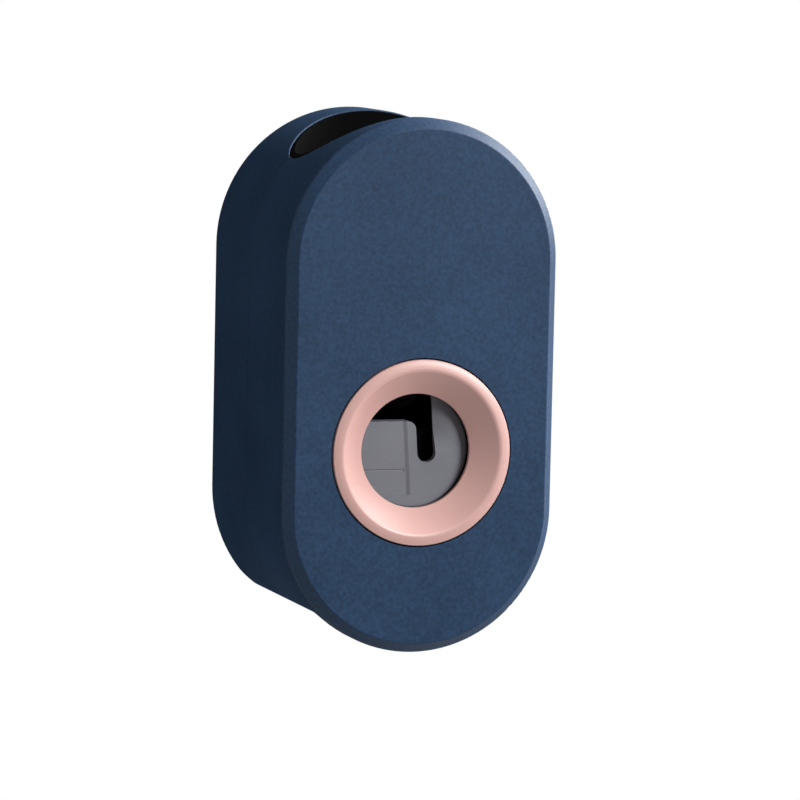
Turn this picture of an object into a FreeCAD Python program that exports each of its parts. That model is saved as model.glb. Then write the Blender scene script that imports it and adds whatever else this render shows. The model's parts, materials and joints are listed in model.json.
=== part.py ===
import FreeCAD, Part
import math
import os

os.makedirs("parts", exist_ok=True)

# A wall dispenser for toothpaste. Sizes are in millimetres.
# X runs to the right of the person in front of it, Y runs back to the wall and Z runs up.
# The origin lies on the wall, behind the middle of the case.

# Case: an upright stadium, split by a seam into a front cover and a rear shell
case_width = 70.0
case_height = 131.6
case_depth = 61.0
case_wall = 2.2
front_bevel = 2.5
front_bevel_crease = 0.4
front_bevel_shoulder = 1.2
back_edge_radius = 1.0
seam_depth = 31.8
seam_gap = 0.12
lip_height = 2.5
lip_wall = 1.2
lip_clearance = 0.15

# Flat underside, with the front of the case left hanging below it as an apron
underside_drop = 55.9
apron_depth = 6.8
apron_root_radius = 2.0
heel_radius = 6.5

# Slot in the top for the tube, and the dark guide below it
slot_side_margin = 9.6
slot_width = 37.5
slot_centre_depth = 27.65
slot_edge_radius = 0.3
tube_depth = 27.35
guide_drop = 0.4
guide_wall = 1.0
guide_gap = 0.2

# Screws that join the two shells from behind
case_screw_inset = 4.8
case_screw_top_z = 33.0
case_screw_bottom_z = -34.0
front_boss_radius = 3.4
rear_boss_radius = 4.0
boss_rib = 1.6
boss_root = 0.3
case_screw_radius = 1.4
case_screw_head_radius = 2.5
case_screw_head_height = 1.8
case_screw_grip = 4.0
case_screw_bite = 8.0

# Wall plate, its adhesive pad and the studs that the case hangs on
pad_thickness = 1.0
pad_margin = 1.0
plate_width = 32.0
plate_height = 48.0
plate_thickness = 3.0
plate_proud = 0.2
plate_corner_radius = 3.0
plate_clearance = 0.4
stud_spacing = 24.0
stud_neck_radius = 2.0
stud_head_radius = 3.6
stud_head_thickness = 1.6
stud_chamfer = 0.5
stud_clearance = 0.3
lift_travel = 9.0

# Funnel ring round the brush hole
ring_drop = 16.0
ring_radius = 22.95
ring_gap = 0.4
ring_edge_proud = 0.46
ring_crest_proud = 0.8
ring_crest_radius = 20.3
ring_edge_round = 0.4
ring_band_bulge = 0.12
ring_crest_round = 1.2
ring_seat_depth = 4.6
ring_ledge = 1.8
ring_ledge_radius = 20.0
ring_collar_wall = 2.0
ring_back_clearance = 0.3
brush_hole_radius = 14.15
cone_depth = 4.5
throat_length = 1.0
throat_wall = 1.6

# Brush pusher: a round plate with a hook-shaped slot
pusher_radius = 14.6
pusher_face_depth = 7.0
pusher_thickness = 4.5
pusher_rim_round = 0.8
pusher_lean = 4.0
pusher_slot_x = 3.75
pusher_slot_width = 4.85
pusher_slot_foot = -19.25
pusher_slot_lip = 2.0
pusher_slot_relief = 2.0
pusher_left_top = -9.0
pusher_corner_radius = 2.2
panel_edge_x = -0.95
panel_foot = -27.0
panel_depth = 0.4
panel_slope = 0.9
panel_groove_z = -21.1
panel_groove_radius = 0.25
bank_radius = 12.0
bank_width = 5.8
bank_foot = -19.1
push_travel = 12.0

# Yoke behind the pusher, with two uprights for the press bar
yoke_length = 45.0
yoke_height = 9.0
yoke_thickness = 4.0
upright_inner_x = 11.0
upright_width = 4.0
upright_top_margin = 1.6
pusher_screw_left_x = -9.0
pusher_screw_right_x = 10.5
pusher_screw_radius = 1.0
pusher_screw_head_radius = 1.9
pusher_screw_head_height = 1.4
pusher_screw_bite = 3.0

# Guide rods, bushes, washers and return springs
rod_x = 18.5
rod_radius = 1.75
rod_inset = 0.5
rod_chamfer = 0.3
bushing_radius = 3.2
bushing_nose = 1.5
bushing_flange_radius = 4.2
bushing_flange = 1.0
running_clearance = 0.05
washer_radius = 3.6
washer_thickness = 1.0
washer_gap = 0.1
spring_radius = 3.0
spring_wire_radius = 0.45
spring_turns = 7
spring_end_pitch = 1.5
spring_seat_gap = 0.05

# Chassis
chassis_side_gap = 0.6
chassis_plate = 2.0
chassis_bottom_z = -27.5
chassis_back_gap = 1.5
deck_z = 21.5
deck_thickness = 2.5
side_height_below = 2.0
lug_reach = 3.4
lug_height = 8.0
lug_thickness = 2.1
shelf_z = 1.0
shelf_thickness = 3.0
shelf_side_clearance = 0.6
shelf_front_margin = 1.5
anvil_gap = 0.2
anvil_thickness = 2.5
chassis_screw_inset = 4.0
chassis_screw_top_z = 17.5
chassis_screw_bottom_z = -23.5
chassis_boss_radius = 3.2
chassis_screw_radius = 1.25
chassis_screw_head_radius = 2.4
chassis_screw_head_height = 1.6
chassis_screw_bite = 5.0

# Pump sleeve with its two clamps
sleeve_radius = 6.5
sleeve_wall = 1.2
sleeve_end_gap = 0.1
clamp_wall = 1.5
clamp_height = 3.0
clamp_gap = 0.2
clamp_inset = 1.0
pinch_gap = 2.7
press_bar_height = 8.0
press_bar_nose_radius = 1.4
press_bar_side_gap = 0.2
trunnion_radius = 1.5
trunnion_length = 3.0

# Socket for the tube's neck, with its seal and inlet valve
socket_flange_radius = 13.0
socket_flange = 2.0
socket_wall = 2.0
socket_bore_radius = 7.0
socket_bore_depth = 9.3
socket_seat_radius = 6.65
spigot_grip = 3.6
spigot_clearance = 0.05
spigot_bore_radius = 4.1
seal_wall = 2.2
seal_thickness = 1.5
seal_side_gap = 0.05
valve_flange = 1.2
valve_wall_gap = 0.2
valve_length = 6.5
valve_root_share = 0.35
valve_tip = 1.2
valve_slit = 0.3
valve_slit_margin = 1.2
socket_screw_ring_radius = 11.0
socket_screw_count = 4
socket_screw_radius = 0.9
socket_screw_head_radius = 1.7
socket_screw_head_height = 1.2

# Outlet elbow, spout and duckbill
nozzle_flange_length = 20.4
nozzle_flange_width = 13.0
nozzle_flange = 2.0
elbow_radius = 5.0
elbow_drop = 7.5
spout_drop = 4.4
spout_radius = 2.8
spout_bore_radius = 1.7
spout_reach = 10.2
nozzle_bore_radius = 3.6
nozzle_screw_x = 8.6
nozzle_screw_radius = 0.9
nozzle_screw_head_radius = 1.5
nozzle_screw_head_height = 1.1
nozzle_screw_bite = 2.5
outlet_valve_wall = 0.8
outlet_valve_grip = 3.5
outlet_valve_bill = 4.0

# Fits and cuts
thread_clearance = 0.02
pass_clearance = 0.25
screw_tip_gap = 0.4
overrun = 1.0
match_tolerance = 0.01

# Shares of a screw's head, counts and angles
head_chamfer_share = 0.3
drive_share = 0.5
drive_floor_share = 0.35
parallel_share = 0.99
rim_samples = 5
quarter_count = 4
spring_samples = 720
half_turn = 180
full_turn = 360

# Places worked out from the sizes above
back_y = -(pad_thickness + plate_proud)
front_y = back_y - case_depth
floor_z = -underside_drop + case_wall
hole_z = -ring_drop
plate_back_y = -pad_thickness
plate_front_y = plate_back_y - plate_thickness
recess_y = plate_front_y - plate_clearance
recess_x = plate_width / 2 + plate_clearance
recess_top = plate_height / 2 + plate_clearance
tray_y = recess_y - case_wall
tray_x = recess_x + case_wall
tray_top_z = recess_top + case_wall
stud_head_y = tray_y - stud_clearance
stud_tip_y = stud_head_y - stud_head_thickness
slot_length = case_width - 2 * slot_side_margin
slot_y = front_y + slot_centre_depth
tube_y = front_y + tube_depth
seam_y = front_y + seam_depth
pusher_face_y = front_y + pusher_face_depth
pusher_back_y = pusher_face_y + pusher_thickness
yoke_back_y = pusher_back_y + yoke_thickness
bushing_front_y = pusher_back_y - bushing_nose
bushing_back_y = yoke_back_y + bushing_flange
lug_back_y = bushing_front_y - washer_gap - washer_thickness - washer_gap
lug_front_y = lug_back_y - lug_thickness
chassis_back_y = stud_tip_y - chassis_back_gap
chassis_plate_y = chassis_back_y - chassis_plate
chassis_half = case_width / 2 - case_wall - lip_clearance - lip_wall - chassis_side_gap
chassis_inner = chassis_half - chassis_plate
chassis_screw_x = chassis_inner - chassis_screw_inset
case_screw_x = case_width / 2 - case_screw_inset
deck_top_z = deck_z + deck_thickness
shelf_top_z = shelf_z + shelf_thickness
anvil_y = tube_y + sleeve_radius + anvil_gap
anvil_back_y = anvil_y + anvil_thickness
spigot_low_z = deck_z - spigot_grip
spigot_high_z = shelf_top_z + spigot_grip
lower_clamp_z = shelf_top_z + clamp_gap
upper_clamp_z = deck_z - clamp_inset - clamp_height
press_z = (lower_clamp_z + clamp_height + upper_clamp_z) / 2
press_nose_y = anvil_y - pinch_gap - push_travel
press_axis_y = (pusher_back_y + yoke_back_y) / 2
spring_length = chassis_plate_y - bushing_back_y - 2 * (spring_seat_gap + spring_wire_radius)
socket_floor_z = deck_top_z + socket_flange
valve_top_z = socket_floor_z + valve_flange
seal_top_z = valve_top_z + seal_thickness
socket_top_z = seal_top_z + socket_bore_depth
spout_z = shelf_z - spout_drop
spout_tip_y = tube_y - spout_reach
spigot_radius = sleeve_radius - sleeve_wall - spigot_clearance
stud_places = (stud_spacing / 2, -stud_spacing / 2)
case_screw_places = [
    (side * case_screw_x, z) for side in (-1, 1) for z in (case_screw_top_z, case_screw_bottom_z)
]
chassis_screw_places = [
    (side * chassis_screw_x, z) for side in (-1, 1) for z in (chassis_screw_top_z, chassis_screw_bottom_z)
]
socket_screw_angles = [2 * math.pi * (i + 0.5) / socket_screw_count for i in range(socket_screw_count)]
socket_screw_places = [
    (socket_screw_ring_radius * math.cos(a), tube_y + socket_screw_ring_radius * math.sin(a))
    for a in socket_screw_angles
]


def vector(x, y, z):
    return FreeCAD.Vector(x, y, z)


def block(x0, x1, y0, y1, z0, z1):
    return Part.makeBox(x1 - x0, y1 - y0, z1 - z0, vector(x0, y0, z0))


def rod_along_x(radius, y, z, x0, x1):
    return Part.makeCylinder(radius, x1 - x0, vector(x0, y, z), vector(1, 0, 0))


def rod_along_y(radius, x, z, y0, y1):
    return Part.makeCylinder(radius, y1 - y0, vector(x, y0, z), vector(0, 1, 0))


def rod_along_z(radius, x, y, z0, z1):
    return Part.makeCylinder(radius, z1 - z0, vector(x, y, z0), vector(0, 0, 1))


def line(start, end):
    return Part.LineSegment(start, end).toShape()


def arc(start, middle, end):
    return Part.Arc(start, middle, end).toShape()


def fuse_all(first, others):
    return first.multiFuse(others).removeSplitter()


def edges_along(edges, direction):
    found = []
    for edge in edges:
        if abs(edge.tangentAt(edge.FirstParameter).dot(direction)) > parallel_share:
            found.append(edge)
    return found


# Upright stadium in the XZ plane, carried from y0 to y1
def stadium_along_y(width, height, y0, y1):
    radius = width / 2
    rise = height / 2 - radius
    edges = [
        line(vector(radius, y0, -rise), vector(radius, y0, rise)),
        arc(vector(radius, y0, rise), vector(0, y0, rise + radius), vector(-radius, y0, rise)),
        line(vector(-radius, y0, rise), vector(-radius, y0, -rise)),
        arc(vector(-radius, y0, -rise), vector(0, y0, -rise - radius), vector(radius, y0, -rise)),
    ]
    return Part.Face(Part.Wire(edges)).extrude(vector(0, y1 - y0, 0))


# Round-cornered plate in the XZ plane, carried from y0 to y1
def plate_along_y(width, height, corner, y0, y1):
    plate = block(-width / 2, width / 2, y0, y1, -height / 2, height / 2)
    return plate.makeFillet(corner, edges_along(plate.Edges, vector(0, 1, 0)))


# Slot for the tube: a long hole with round ends, widened by a margin, from a foot up through the top
def tube_slot(margin, foot):
    radius = slot_width / 2 + margin
    half = slot_length / 2 + margin
    reach = half - radius
    near = slot_y - radius
    far = slot_y + radius
    edges = [
        line(vector(-reach, near, foot), vector(reach, near, foot)),
        arc(vector(reach, near, foot), vector(half, slot_y, foot), vector(reach, far, foot)),
        line(vector(reach, far, foot), vector(-reach, far, foot)),
        arc(vector(-reach, far, foot), vector(-half, slot_y, foot), vector(-reach, near, foot)),
    ]
    return Part.Face(Part.Wire(edges)).extrude(vector(0, 0, case_height))


# Space inside the case walls and above the floor, drawn in by an inset
def case_inside(inset, y0, y1):
    shrink = 2 * (case_wall + inset)
    hollow = stadium_along_y(case_width - shrink, case_height - shrink, y0, y1)
    below = block(-case_width, case_width, y0 - overrun, y1 + overrun, -case_height, floor_z + inset)
    return hollow.cut(below)


def edges_at_y(shape, y):
    found = []
    for edge in shape.Edges:
        if all(abs(vertex.Point.y - y) < match_tolerance for vertex in edge.Vertexes):
            found.append(edge)
    return found


def upright_edges(shape, x, y):
    found = []
    for edge in edges_along(shape.Edges, vector(0, 0, 1)):
        point = edge.Vertexes[0].Point
        if math.hypot(point.x - x, point.y - y) < match_tolerance:
            found.append(edge)
    return found


def end_face(shape, z):
    for face in shape.Faces:
        if all(abs(vertex.Point.z - z) < match_tolerance for vertex in face.Vertexes):
            return face


# Edges where the tube slot breaks out through the rounded top
def slot_rim_edges(shape):
    radius = case_width / 2
    crown_z = case_height / 2 - radius
    found = []
    for edge in shape.Edges:
        points = edge.discretize(rim_samples)
        above = all(p.z > crown_z for p in points)
        on_crown = all(abs(math.hypot(p.x, p.z - crown_z) - radius) < match_tolerance for p in points)
        in_slot = all(abs(p.y - slot_y) < slot_width / 2 + match_tolerance for p in points)
        if above and on_crown and in_slot:
            found.append(edge)
    return found


# Space below the crown of the case, at a depth from its outside
def under_crown(depth):
    return stadium_along_y(case_width - 2 * depth, case_height - 2 * depth, front_y, back_y)


# Sharp corner left outside a rounded heel where a back and a floor meet
def heel_corner(radius, y, z):
    corner = block(-case_width, case_width, y - radius, y + overrun, z - overrun, z + radius)
    return corner.cut(rod_along_x(radius, y - radius, z + radius, -case_width, case_width))


# Case before it is hollowed: one edge profile, drawn along the straight sides and turned round both ends
def case_body():
    radius = case_width / 2
    rise = case_height / 2 - radius
    side = block(0, radius, front_y, back_y, -rise, rise)
    side = side.makeChamfer(front_bevel, upright_edges(side, radius, front_y))
    side = side.makeFillet(front_bevel_crease, upright_edges(side, radius - front_bevel, front_y))
    side = side.makeFillet(front_bevel_shoulder, upright_edges(side, radius, front_y + front_bevel))
    side = side.makeFillet(back_edge_radius, upright_edges(side, radius, back_y))
    crown = end_face(side, rise).revolve(vector(0, 0, rise), vector(0, -1, 0), full_turn / 2)
    half = side.fuse(crown)
    other = half.copy()
    other.rotate(vector(0, 0, 0), vector(0, 1, 0), full_turn / 2)
    return fuse_all(half, [other])


def case_shape():
    case = case_body()
    below = (-case_height, -underside_drop)
    apron_back = front_y + apron_depth
    under = block(-case_width, case_width, apron_back, back_y + overrun, *below)
    root = []
    for edge in edges_along(edges_at_y(under, apron_back), vector(1, 0, 0)):
        if edge.Vertexes[0].Point.z > -underside_drop - match_tolerance:
            root.append(edge)
    under = under.makeFillet(apron_root_radius, root)
    shrink = 2 * case_wall
    pocket_front = front_y + case_wall
    pocket_back = apron_back + apron_root_radius + overrun
    pocket = stadium_along_y(case_width - shrink, case_height - shrink, pocket_front, pocket_back)
    pocket = pocket.common(block(-case_width, case_width, pocket_front, back_y, *below))
    inside_back = back_y - case_wall
    inside = case_inside(0, front_y + case_wall, inside_back)
    inside = inside.cut(heel_corner(heel_radius - case_wall, inside_back, floor_z))
    heel = heel_corner(heel_radius, back_y, -underside_drop)
    case = case.cut([under, pocket, inside, heel, tube_slot(0, 0)])
    return case.makeFillet(slot_edge_radius, slot_rim_edges(case))


def front_cover(case):
    cover = case.common(block(-case_width, case_width, front_y - overrun, seam_y, -case_height, case_height))
    anchor_y = front_y + case_wall / 2
    ledge_end = front_y + ring_seat_depth + ring_ledge
    additions = [rod_along_y(ring_radius + ring_gap + ring_collar_wall, 0, hole_z, anchor_y, ledge_end)]
    boss_y = front_y + case_wall - boss_root
    for x, z in case_screw_places:
        additions.append(rod_along_y(front_boss_radius, x, z, boss_y, seam_y))
        reach = sorted((x, math.copysign(case_width / 2 - case_wall / 2, x)))
        additions.append(block(*reach, boss_y, seam_y, z - boss_rib / 2, z + boss_rib / 2))
    lip_front = seam_y - lip_height
    lip_back = seam_y + lip_height
    root = case_inside(0, lip_front, seam_y)
    tongue = case_inside(lip_clearance, lip_front, lip_back)
    lip = root.fuse(tongue).cut(
        case_inside(lip_clearance + lip_wall, lip_front - overrun, lip_back + overrun)
    )
    notches = [tube_slot(0, 0)]
    for x, z in case_screw_places:
        notches.append(rod_along_y(rear_boss_radius + lip_clearance, x, z, seam_y, lip_back + overrun))
    additions.append(lip.cut(notches))
    cover = fuse_all(cover, additions)
    cuts = [
        rod_along_y(ring_radius + ring_gap, 0, hole_z, front_y - overrun, front_y + ring_seat_depth),
        rod_along_y(ring_ledge_radius, 0, hole_z, front_y, ledge_end + overrun),
    ]
    for x, z in case_screw_places:
        pilot = case_screw_radius + thread_clearance
        cuts.append(rod_along_y(pilot, x, z, seam_y - case_screw_bite - overrun, seam_y + overrun))
    return cover.cut(cuts)


def rear_shell(case):
    behind = (seam_y + seam_gap, back_y + overrun)
    shell = case.common(block(-case_width, case_width, *behind, -case_height, case_height))
    anchor_y = back_y - case_wall / 2
    recess_foot = -recess_top - lift_travel
    additions = [block(-tray_x, tray_x, tray_y, anchor_y, recess_foot - case_wall, tray_top_z)]
    cuts = [block(-recess_x, recess_x, recess_y, back_y + overrun, recess_foot, recess_top)]
    for x, z in case_screw_places:
        head_seat = seam_y + case_screw_grip
        additions.append(rod_along_y(rear_boss_radius, x, z, seam_y, anchor_y))
        cuts.append(rod_along_y(case_screw_head_radius + pass_clearance, x, z, head_seat, back_y + overrun))
        cuts.append(rod_along_y(case_screw_radius + pass_clearance, x, z, seam_y - overrun, head_seat))
    for x, z in chassis_screw_places:
        pilot = chassis_screw_radius + thread_clearance
        additions.append(rod_along_y(chassis_boss_radius, x, z, chassis_back_y, anchor_y))
        cuts.append(rod_along_y(pilot, x, z, chassis_back_y - overrun, chassis_back_y + chassis_screw_bite))
    for z in stud_places:
        neck = stud_neck_radius + stud_clearance
        head = stud_head_radius + stud_clearance
        floor = (tray_y - overrun, recess_y + overrun)
        cuts.append(rod_along_y(neck, 0, z, *floor))
        cuts.append(block(-neck, neck, *floor, z - lift_travel, z))
        cuts.append(rod_along_y(head, 0, z - lift_travel, *floor))
    return fuse_all(shell, additions).cut(cuts)


# A screw along Y: the head lies behind the seat, the shank runs to the front
def screw_forward(x, z, seat_y, head_radius, head_height, radius, length):
    top_y = seat_y + head_height
    head = rod_along_y(head_radius, x, z, seat_y, top_y)
    head = head.makeChamfer(head_height * head_chamfer_share, edges_at_y(head, top_y))
    shank = rod_along_y(radius, x, z, seat_y - length, seat_y)
    drive_floor = seat_y + head_height * drive_floor_share
    drive = rod_along_y(head_radius * drive_share, x, z, drive_floor, top_y + overrun)
    return head.fuse(shank).cut(drive)


# The same screw turned round, so that its shank runs to the back
def screw_backward(x, z, seat_y, head_radius, head_height, radius, length):
    screw = screw_forward(x, z, seat_y, head_radius, head_height, radius, length)
    screw.rotate(vector(x, seat_y, z), vector(0, 0, 1), half_turn)
    return screw


# The same screw stood upright: its shank runs down, or up if it is turned over
def screw_upright(x, y, seat_z, shank_down, head_radius, head_height, radius, length):
    screw = screw_forward(0, 0, 0, head_radius, head_height, radius, length)
    screw.rotate(vector(0, 0, 0), vector(1, 0, 0), half_turn / 2 if shank_down else -half_turn / 2)
    screw.translate(vector(x, y, seat_z))
    return screw


def case_screws():
    seat_y = seam_y + case_screw_grip
    length = case_screw_grip + case_screw_bite
    sizes = (case_screw_head_radius, case_screw_head_height, case_screw_radius, length)
    return Part.makeCompound([screw_forward(x, z, seat_y, *sizes) for x, z in case_screw_places])


# Dark wall that lines the tube slot from just below the crown and stands on the chassis deck
def tube_guide():
    room = under_crown(guide_drop)
    tray_room = block(-tray_x, tray_x, tray_y - guide_gap, back_y, deck_top_z, tray_top_z + guide_gap)
    wall = tube_slot(-guide_gap, deck_top_z)
    return wall.common(room).cut([tube_slot(-guide_gap - guide_wall, deck_top_z), tray_room])


# Funnel ring: a lip that falls away outwards, a cone down to the brush hole, and a seat on the cover's ledge
def funnel_ring():
    def at(radius, depth):
        return vector(radius, front_y + depth, hole_z)

    round_share = math.cos(math.pi / 4)
    edge_y = -ring_edge_proud + ring_edge_round
    side = at(ring_radius, edge_y)
    bend = at(ring_radius - ring_edge_round * (1 - round_share), edge_y - ring_edge_round * round_share)
    shoulder = at(ring_radius - ring_edge_round, -ring_edge_proud)
    crest = at(ring_crest_radius, -ring_crest_proud)
    middle = (shoulder + crest) * 0.5 - vector(0, ring_band_bulge, 0)
    cone_foot = at(brush_hole_radius, cone_depth)
    throat = at(brush_hole_radius, cone_depth + throat_length)
    throat_back = at(brush_hole_radius + throat_wall, cone_depth + throat_length)
    seat_inner = at(ring_ledge_radius - ring_back_clearance, ring_seat_depth)
    seat_outer = at(ring_radius, ring_seat_depth)
    outline = Part.Wire([
        line(seat_outer, side),
        arc(side, bend, shoulder),
        arc(shoulder, middle, crest),
        line(crest, cone_foot),
        line(cone_foot, throat),
        line(throat, throat_back),
        line(throat_back, seat_inner),
        line(seat_inner, seat_outer),
    ])
    ring = Part.Face(outline).revolve(vector(0, 0, hole_z), vector(0, 1, 0), full_turn)
    return ring.makeFillet(ring_crest_round, edges_at_y(ring, front_y - ring_crest_proud))


# Bank beside the pusher's slot: it falls away from its crest towards the slot, and the crest curves in below
def slot_bank(slot_right, top):
    crest_x = slot_right + bank_width
    crest_y = pusher_face_y + bank_radius
    bend_z = bank_foot + crest_x - pusher_slot_x
    bank = block(pusher_slot_x, crest_x, pusher_face_y - overrun, pusher_back_y, bend_z, top)
    bank = bank.cut(rod_along_z(bank_radius, crest_x, crest_y, bend_z - overrun, top + overrun))
    bowl = end_face(bank, bend_z).revolve(vector(pusher_slot_x, 0, bend_z), vector(0, 1, 0), full_turn / 4)
    return bank.fuse(bowl)


# Shallow panel left of the slot, with a soft step along its edge
def pusher_panel(left, top):
    panel_y = pusher_face_y + panel_depth
    outline = Part.makePolygon([
        vector(left, pusher_face_y - overrun, panel_foot),
        vector(panel_edge_x, pusher_face_y - overrun, panel_foot),
        vector(panel_edge_x, pusher_face_y, panel_foot),
        vector(panel_edge_x - panel_slope, panel_y, panel_foot),
        vector(left, panel_y, panel_foot),
        vector(left, pusher_face_y - overrun, panel_foot),
    ])
    return Part.Face(outline).extrude(vector(0, 0, top - panel_foot))


def brush_pusher():
    top = hole_z + pusher_radius + overrun
    left = -pusher_radius - overrun
    half_slot = pusher_slot_width / 2
    faces = (pusher_face_y - overrun, pusher_back_y + overrun)
    plate = rod_along_y(pusher_radius, 0, hole_z, pusher_face_y, pusher_back_y)
    plate = plate.makeFillet(pusher_rim_round, edges_at_y(plate, pusher_face_y))
    slot_bend = pusher_slot_foot + half_slot

    def lean(shape):
        turned = shape.copy()
        turned.rotate(vector(pusher_slot_x, 0, slot_bend), vector(0, 1, 0), -pusher_lean)
        return turned

    slot = block(pusher_slot_x - half_slot, pusher_slot_x + half_slot, *faces, slot_bend, top)
    slot = slot.fuse(rod_along_y(half_slot, pusher_slot_x, slot_bend, *faces))
    plate = plate.cut([lean(slot), block(left, pusher_slot_x - half_slot, *faces, pusher_left_top, top)])
    corner = []
    for edge in edges_along(plate.Edges, vector(0, 1, 0)):
        point = edge.Vertexes[0].Point
        beside = abs(point.x - pusher_slot_x + half_slot) < pusher_corner_radius
        if beside and abs(point.z - pusher_left_top) < match_tolerance:
            corner.append(edge)
    plate = plate.makeFillet(pusher_corner_radius, corner)
    relief = (pusher_face_y + pusher_slot_lip, pusher_back_y + overrun)
    relief_half = half_slot + pusher_slot_relief
    groove_y = pusher_face_y + panel_depth
    cuts = [
        lean(pusher_panel(left - overrun, top)),
        lean(slot_bank(pusher_slot_x + half_slot, top)),
        rod_along_x(panel_groove_radius, groove_y, panel_groove_z, left, panel_edge_x - panel_slope),
        block(pusher_slot_x - relief_half, pusher_slot_x + relief_half, *relief, slot_bend, top),
        rod_along_y(relief_half, pusher_slot_x, slot_bend, *relief),
    ]
    for x in (pusher_screw_left_x, pusher_screw_right_x):
        pilot = pusher_screw_radius + thread_clearance
        cuts.append(rod_along_y(pilot, x, hole_z, pusher_back_y - pusher_screw_bite, pusher_back_y + overrun))
    return plate.cut(cuts)


def pusher_yoke():
    low = hole_z - yoke_height / 2
    high = hole_z + yoke_height / 2
    crown = press_z + trunnion_radius + upright_top_margin
    bar = block(-yoke_length / 2, yoke_length / 2, pusher_back_y, yoke_back_y, low, high)
    uprights = []
    cuts = []
    for side in (-1, 1):
        reach = sorted((side * upright_inner_x, side * (upright_inner_x + upright_width)))
        uprights.append(block(*reach, pusher_back_y, yoke_back_y, hole_z, crown))
        cuts.append(rod_along_x(trunnion_radius + running_clearance, press_axis_y, press_z, *reach))
        bore = bushing_radius + thread_clearance
        cuts.append(rod_along_y(bore, side * rod_x, hole_z, pusher_back_y - overrun, yoke_back_y + overrun))
    head_seat = yoke_back_y - pusher_screw_head_height
    shank = pusher_screw_radius + pass_clearance
    head = pusher_screw_head_radius + pass_clearance
    for x in (pusher_screw_left_x, pusher_screw_right_x):
        cuts.append(rod_along_y(shank, x, hole_z, pusher_back_y - overrun, head_seat))
        cuts.append(rod_along_y(head, x, hole_z, head_seat, yoke_back_y + overrun))
    return fuse_all(bar, uprights).cut(cuts)


def pusher_screws():
    seat_y = yoke_back_y - pusher_screw_head_height
    length = seat_y - pusher_back_y + pusher_screw_bite
    sizes = (pusher_screw_head_radius, pusher_screw_head_height, pusher_screw_radius, length)
    places = (pusher_screw_left_x, pusher_screw_right_x)
    return Part.makeCompound([screw_forward(x, hole_z, seat_y, *sizes) for x in places])


def press_bar():
    reach = upright_inner_x - press_bar_side_gap
    low = press_z - press_bar_height / 2
    high = press_z + press_bar_height / 2
    bar = block(-reach, reach, pusher_back_y, press_nose_y, low, high)
    nose = edges_along(edges_at_y(bar, press_nose_y), vector(1, 0, 0))
    bar = bar.makeFillet(press_bar_nose_radius, nose)
    tip = upright_inner_x + trunnion_length
    return fuse_all(bar, [rod_along_x(trunnion_radius, press_axis_y, press_z, -tip, tip)])


def guide_bushings():
    bushes = []
    for side in (-1, 1):
        x = side * rod_x
        barrel = rod_along_y(bushing_radius, x, hole_z, bushing_front_y, bushing_back_y)
        flange = rod_along_y(bushing_flange_radius, x, hole_z, yoke_back_y, bushing_back_y)
        ends = (bushing_front_y - overrun, bushing_back_y + overrun)
        bore = rod_along_y(rod_radius + running_clearance, x, hole_z, *ends)
        bushes.append(fuse_all(barrel, [flange]).cut(bore))
    return Part.makeCompound(bushes)


def guide_rod(side):
    rod = rod_along_y(rod_radius, side * rod_x, hole_z, lug_front_y + rod_inset, chassis_back_y)
    ends = edges_at_y(rod, lug_front_y + rod_inset) + edges_at_y(rod, chassis_back_y)
    return rod.makeChamfer(rod_chamfer, ends)


def stop_washers():
    washers = []
    for side in (-1, 1):
        x = side * rod_x
        ring = rod_along_y(washer_radius, x, hole_z, lug_back_y + washer_gap, bushing_front_y - washer_gap)
        hole = rod_along_y(rod_radius + pass_clearance, x, hole_z, lug_back_y, bushing_front_y)
        washers.append(ring.cut(hole))
    return Part.makeCompound(washers)


# Height along the spring after so many turns: the first and last turn lie closer than the rest
def spring_rise(turn):
    travel = spring_length - 2 * spring_end_pitch
    if turn < 1:
        return spring_end_pitch * turn
    if turn > spring_turns + 1:
        return spring_end_pitch + travel + spring_end_pitch * (turn - 1 - spring_turns)
    return spring_end_pitch + travel * (turn - 1) / spring_turns


def spring_point(turn):
    angle = 2 * math.pi * turn
    return vector(spring_radius * math.cos(angle), spring_rise(turn), spring_radius * math.sin(angle))


def spring_tangent(turn):
    angle = 2 * math.pi * turn
    step = 1 / quarter_count
    rise = (spring_rise(turn + step) - spring_rise(turn - step)) / (4 * math.pi * step)
    tangent = vector(-spring_radius * math.sin(angle), rise, spring_radius * math.cos(angle))
    return tangent.normalize()


# One arc that leaves start along a tangent towards the control point and ends at end
def arc_towards(start, control, end):
    chord = end - start
    middle = (start + end) * 0.5
    lift = control - middle
    slope = (control - start).getAngle(chord)
    return arc(start, middle + lift.normalize() * (chord.Length / 2 * math.tan(slope / 2)), end)


# Two arcs in line with each other that join two points with given tangents
def biarc(start, start_tangent, end, end_tangent):
    span = end - start
    along = start_tangent + end_tangent
    spread = 2 * (1 - start_tangent.dot(end_tangent))
    reach = (math.sqrt(span.dot(along) ** 2 + spread * span.dot(span)) - span.dot(along)) / spread
    first_control = start + start_tangent * reach
    second_control = end - end_tangent * reach
    joint = (first_control + second_control) * 0.5
    return [arc_towards(start, first_control, joint), arc_towards(end, second_control, joint)]


def spring_self_gap(turns):
    samples = [spring_point(turns * i / spring_samples) for i in range(spring_samples + 1)]
    apart = spring_samples // (2 * turns)
    least = min(
        samples[i].distanceToPoint(samples[j])
        for i in range(len(samples))
        for j in range(i + apart, len(samples))
    )
    return least - 2 * spring_wire_radius


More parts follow.
